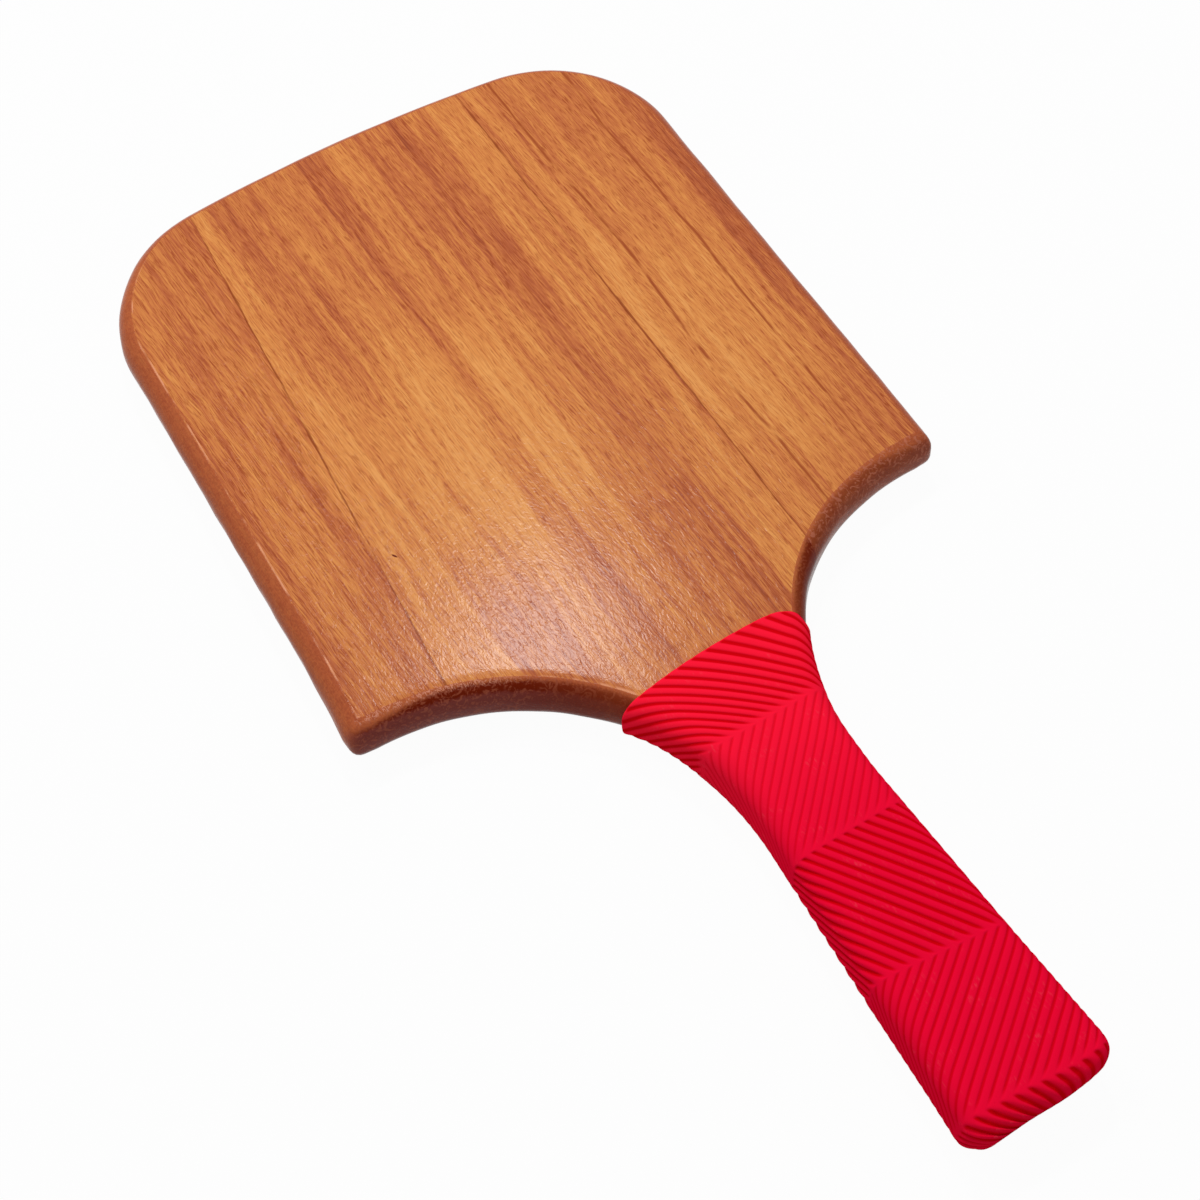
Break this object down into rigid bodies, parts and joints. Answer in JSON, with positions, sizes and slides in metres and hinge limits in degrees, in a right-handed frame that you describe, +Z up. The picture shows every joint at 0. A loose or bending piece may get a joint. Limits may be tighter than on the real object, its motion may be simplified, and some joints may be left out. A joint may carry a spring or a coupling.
{
  "type": "wooden tennis bat",
  "caption": "Flat hardwood bat with a broad, square-shouldered blade and a short flared handle in a ribbed red rubber grip sleeve.",
  "frame": {"origin": "middle of the bat's box, at the height of the grip sleeve's underside", "axes": "+X across the blade, +Y along the bat from the butt to the top of the blade, +Z up out of the hitting face"},
  "size_m": [0.203, 0.4, 0.02],
  "materials": {
    "side_wood": "clear satin lacquer over red-brown hardwood",
    "middle_wood": "clear satin lacquer over golden-brown hardwood",
    "red_rubber": "moulded, ribbed, soft sheen"
  },
  "bodies": {
    "root": {"left_board": "side_wood", "centre_board": "middle_wood", "right_board": "side_wood", "grip_sleeve": "red_rubber"}
  },
  "joints": []
}
